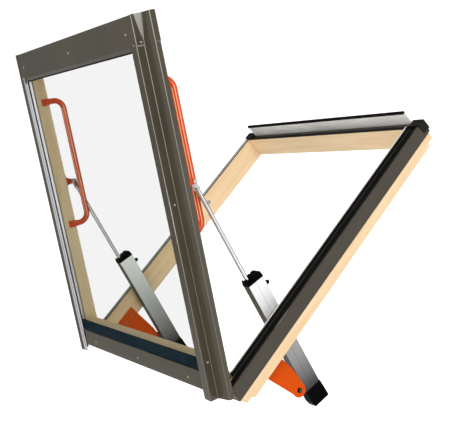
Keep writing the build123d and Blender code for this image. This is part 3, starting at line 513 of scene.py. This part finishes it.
LOOKS = [
    (pine("pine_y", ALONG_Y, 0, SIDE_PINE_LIGHT, SIDE_PINE_DARK), sides("frame_side")),
    (pine("pine_x", ALONG_X, 0, PINE_LIGHT, PINE_DARK), ["frame_top", "frame_bottom"]),
    (pine("pine_sash_y", ALONG_Y, OPEN_ANGLE, PINE_LIGHT, PINE_DARK), sides("sash_side")),
    (pine("pine_sash_x", ALONG_X, OPEN_ANGLE, PINE_LIGHT, PINE_DARK),
     ["sash_top", "sash_bottom"]),
    (painted("taupe_paint", CLADDING_TAUPE, roughness=0.3, specular=0.3),
     [*sides("side_cladding"), "lower_cladding", "top_cladding"]),
    # Covers and caps: painted highlights on the folds; left cover: painted reflection on its
    # inner edge
    (folded_paint("cover_paint", FOLD_HIGHLIGHT_LOW, COVER_FOLDS),
     ["side_cover_right", "top_cover", "bottom_cover"]),
    (folded_paint("edged_cover_paint", FOLD_HIGHLIGHT_LOW, COVER_FOLDS, LEFT_COVER_PAINTED_REFLECTION),
     ["side_cover_left"]),
    (folded_paint("cap_paint", PLEAT_HIGHLIGHT, CAP_FOLDS), sides("cover_cap")),
    (painted("black_rubber", RUBBER_BLACK, roughness=0.55, relief=0.1, specular=0.04),
     ["frame_seal", "upstand_seal"]),
    (gasket_rubber("gasket_rubber"), ["outer_gasket"]),
    (painted("grey_rubber", INNER_GASKET_GREY, roughness=0.5), ["inner_gasket"]),
    (lip_rubber("lip_rubber"), ["lip_seals"]),
    (painted("bead_rubber", BEAD_GREY, roughness=0.5), ["lip_beads"]),
    (painted("cap_plastic", CORNER_CAP_BLACK, roughness=0.42, relief=0.1, specular=0.1),
     sides("corner_cap")),
    (painted("grey_paint", UPSTAND_GREY, roughness=0.3), ["top_upstand"]),
    (painted("orange_coat", ORANGE, roughness=0.4, specular=0.06), sides("actuator_plate")),
    (bow_paint("bow_coat"), [*sides("bow"), *sides("rod_bracket")]),
    (housing_alloy("housing_aluminium"), [*sides("housing"), *sides("swivel_lug")]),
    (polished_rod("rod_steel"), sides("push_rod")),
    (metal("zinc_steel", ZINC, roughness=0.3),
     [*sides("rod_eye"), "rod_bolts", "frame_hinges", "hinge_pins", "sash_hinge_arms"]),
    (metal("dull_zinc", DULL_ZINC, roughness=0.4), ["frame_screws"]),
    (metal("dark_zinc", DARK_ZINC, roughness=0.4), ["swivel_bolts"]),
    (screws_in_two_finishes("sash_screw"), ["sash_screws"]),
    (painted("black_plastic", PLASTIC_BLACK, roughness=0.4, relief=0.1, specular=0.02),
     ["swivel_washers", *sides("cable_gland"), *sides("housing_head"), *sides("housing_foot")]),
    (painted("cover_screw", COVER_SCREW_GREY, roughness=0.3), ["cover_screws"]),
    (glass("clear_glass"), ["inner_pane", "outer_pane"]),
    (metal("spacer_aluminium", SPACER_GREY, roughness=0.25), ["glass_spacer"]),
    (painted("edge_band", EDGE_BAND_BLUE, roughness=0.4, relief=0, specular=0), ["glass_band"]),
]
for material, names in LOOKS:
    for name in names:
        for place in NODES[name].material_slots:
            place.material = material


# Small trim


def trim(name, material, body, corners, faces):
    """A small piece from its corners and faces, riding on a body."""
    mesh = bpy.data.meshes.new(name)
    mesh.from_pydata(corners, [], faces)
    mesh.validate()
    mesh.materials.append(material)
    piece = bpy.data.objects.new(name, mesh)
    bpy.context.scene.collection.objects.link(piece)
    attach(piece, body)


def faces_over_rings(count, rings):
    """The two end faces and the walls of a closed piece over rings of corners."""
    last = (rings - 1) * count
    faces = [tuple(reversed(range(count))), tuple(range(last, last + count))]
    for start in range(0, last, count):
        for i in range(count):
            j = (i + 1) % count
            faces.append((start + i, start + j, start + count + j, start + count + i))
    return faces


# A lining strip inside the sheet where each side cover meets its end cap. Each corner of its
# section is a distance across the sash and one outwards from the hinge axis, whose Y and Z are
# the sash's foot.
SASH_FOOT = (-0.0208, 0.08465)
JOINT_REACH = (1.100, 1.1078)
LINING_OUTER = [(0.4816, 0.0613), (0.5256, 0.0639), (0.5221, 0.0340), (0.5733, 0.0232)]
LINING_INNER = [(0.5733, 0.0227), (0.5216, 0.0336), (0.5250, 0.0634), (0.4816, 0.0608)]
LINING_GREY = (0.24, 0.23, 0.21)


def on_sash(x, up, out):
    """A point on the open sash from its distances across, up and outwards."""
    y = SASH_FOOT[0] + up * SASH_UP[1] + out * SASH_OUT[1]
    z = SASH_FOOT[1] + up * SASH_UP[2] + out * SASH_OUT[2]
    return (x, y, z)


lining_paint = painted("lining_paint", LINING_GREY, roughness=0.4)
ring = LINING_OUTER + LINING_INNER
for side, sign in (("right", 1), ("left", -1)):
    corners = [on_sash(sign * x, up, out) for up in JOINT_REACH for x, out in ring]
    trim("cover_joint_lining_" + side, lining_paint, "sash", corners,
         faces_over_rings(len(ring), len(JOINT_REACH)))

# A grey plug in the inner face of the left side member, as radii and how far each stands out
PLUG_PLACE = (-0.517, 0.7635, 0.060)
PLUG_PROFILE = [(0.0090, 0.0), (0.0090, 0.0010), (0.0080, 0.0018), (0.0045, 0.0022)]
PLUG_SIDES = 24
PLUG_GREY = (0.30, 0.29, 0.27)


def plug_corner(radius, rise, step):
    """A corner on one of the plug's rings."""
    angle = 2 * math.pi * step / PLUG_SIDES
    x, y, z = PLUG_PLACE
    return (x + rise, y + radius * math.cos(angle), z + radius * math.sin(angle))


plug_paint = painted("plug_grey", PLUG_GREY, roughness=0.4)
corners = [plug_corner(*ring, step) for ring in PLUG_PROFILE for step in range(PLUG_SIDES)]
trim("frame_plug", plug_paint, "frame", corners,
     faces_over_rings(PLUG_SIDES, len(PLUG_PROFILE)))


# Background and floor

SKY_STRENGTH = 0.55
# What shiny things mirror: light from the viewer's side and above, and dark from beyond
STUDIO_SIDE = (0.45, -0.45, 0.77)
STUDIO_FROM = -0.35
STUDIO_TO = 0.55
STUDIO_DARK = (0.10, 0.10, 0.10)
# What lies beyond the tinted panes is lifted, so that the white ground stays near white in them
BEHIND_PANES = (1.48, 1.37, 1.46)
FLOOR_Z = -0.55
FLOOR_MIDDLE = 0.5
FLOOR_SIZE = 40.0
FLOOR_PALE = (0.97, 0.97, 0.97)
FLOOR_ROUGHNESS = 0.9
FLOOR_SPECULAR = 0.1
FLOOR_LIFT = 0.55


def seen_directly(nodes, links, path):
    """1 for what the camera, a reflection or a look through glass sees, and 0 for soft light."""
    seen = path.outputs["Is Camera Ray"]
    for ray in ("Is Glossy Ray", "Is Transmission Ray"):
        either = nodes.new("ShaderNodeMath")
        either.operation = "MAXIMUM"
        links.new(seen, either.inputs[0])
        links.new(path.outputs[ray], either.inputs[1])
        seen = either.outputs[0]
    return seen


def set_background():
    """A soft white sky for light, and a white ground for what is seen directly."""
    world = bpy.data.worlds.new("studio")
    bpy.context.scene.world = world
    world.use_nodes = True
    nodes = world.node_tree.nodes
    links = world.node_tree.links
    sky = nodes["Background"]
    sky.inputs["Color"].default_value = (*WHITE, 1)
    sky.inputs["Strength"].default_value = SKY_STRENGTH
    ground = nodes.new("ShaderNodeBackground")
    ground.inputs["Strength"].default_value = 1
    rays = nodes.new("ShaderNodeLightPath")
    side = share_along(nodes, links, STUDIO_SIDE, STUDIO_FROM, STUDIO_TO, "Generated")
    mirrored = blend(nodes, links, side, STUDIO_DARK, WHITE)
    seen = blend(nodes, links, rays.outputs["Is Glossy Ray"], WHITE, mirrored)
    seen = blend(nodes, links, rays.outputs["Is Transmission Ray"], seen, BEHIND_PANES)
    links.new(seen, ground.inputs["Color"])
    mix = nodes.new("ShaderNodeMixShader")
    links.new(seen_directly(nodes, links, rays), mix.inputs[0])
    links.new(sky.outputs[0], mix.inputs[1])
    links.new(ground.outputs[0], mix.inputs[2])
    links.new(mix.outputs[0], nodes["World Output"].inputs["Surface"])


def lay_floor():
    """A pale floor that keeps the shadow, and is lifted for the camera and behind the panes."""
    bpy.ops.mesh.primitive_plane_add(size=FLOOR_SIZE, location=(0, FLOOR_MIDDLE, FLOOR_Z))
    floor = bpy.context.object
    floor.name = "floor"
    material, shader, nodes, links = new_material("pale_floor")
    shader.inputs["Base Color"].default_value = (*FLOOR_PALE, 1)
    set_surface(shader, FLOOR_ROUGHNESS, FLOOR_SPECULAR)
    shader.inputs["Emission Color"].default_value = (*WHITE, 1)
    rays = nodes.new("ShaderNodeLightPath")
    lift = nodes.new("ShaderNodeMath")
    lift.operation = "MULTIPLY"
    lift.inputs[1].default_value = FLOOR_LIFT
    links.new(rays.outputs["Is Camera Ray"], lift.inputs[0])
    links.new(lift.outputs[0], shader.inputs["Emission Strength"])
    glow = nodes.new("ShaderNodeEmission")
    glow.inputs["Color"].default_value = (*BEHIND_PANES, 1)
    mix = nodes.new("ShaderNodeMixShader")
    links.new(rays.outputs["Is Transmission Ray"], mix.inputs[0])
    links.new(shader.outputs[0], mix.inputs[1])
    links.new(glow.outputs[0], mix.inputs[2])
    links.new(mix.outputs[0], nodes["Material Output"].inputs["Surface"])
    floor.data.materials.append(material)


set_background()
lay_floor()


# Lights

WINDOW_MIDDLE = (0, 0.45, 0.25)
RIGHT_COVER_MIDDLE = (0.5, 0.25, 0.55)
# Each lamp's name, place, aim, size and power in watts
LAMPS = [
    ("key", (3.4, 1.6, 3.2), WINDOW_MIDDLE, 2.2, 118),
    ("fill", (1.6, -3.4, 2.2), WINDOW_MIDDLE, 2.5, 60),
    ("edge", (2.0, -2.18, 1.67), RIGHT_COVER_MIDDLE, 0.35, 8),
]


def area_light(name, place, target, size, power):
    """A soft square lamp aimed at a point, which the camera doesn't see."""
    lamp = bpy.data.lights.new(name, "AREA")
    lamp.size = size
    lamp.energy = power
    thing = bpy.data.objects.new(name, lamp)
    bpy.context.scene.collection.objects.link(thing)
    thing.location = place
    thing.visible_camera = False
    aim = Vector(target) - Vector(place)
    thing.rotation_euler = aim.to_track_quat("-Z", "Y").to_euler()


for lamp_values in LAMPS:
    area_light(*lamp_values)


# Camera, as fitted to the photograph's perspective

PHOTO_WIDTH = 450
SENSOR = 36.0
FOCAL_PIXELS = 908.25
SHIFT = (0.0230, -0.0468)
CLIP_END = 100
EYE = Vector((2.98053, -0.56329, 1.64261))
RIGHT = Vector((0.51350, 0.58232, -0.63025))
DOWN = Vector((0.01100, -0.73889, -0.67374))
FORWARD = Vector((-0.85802, 0.33903, -0.38583))

camera_data = bpy.data.cameras.new("camera")
camera_data.sensor_fit = "HORIZONTAL"
camera_data.sensor_width = SENSOR
camera_data.lens = FOCAL_PIXELS * SENSOR / PHOTO_WIDTH
camera_data.shift_x, camera_data.shift_y = SHIFT
camera_data.clip_end = CLIP_END
camera = bpy.data.objects.new("camera", camera_data)
bpy.context.scene.collection.objects.link(camera)
turn = Matrix((RIGHT, -DOWN, -FORWARD)).transposed().to_quaternion()
camera.matrix_world = Matrix.LocRotScale(EYE, turn, None)
bpy.context.scene.camera = camera

bpy.context.scene.view_settings.view_transform = "Standard"
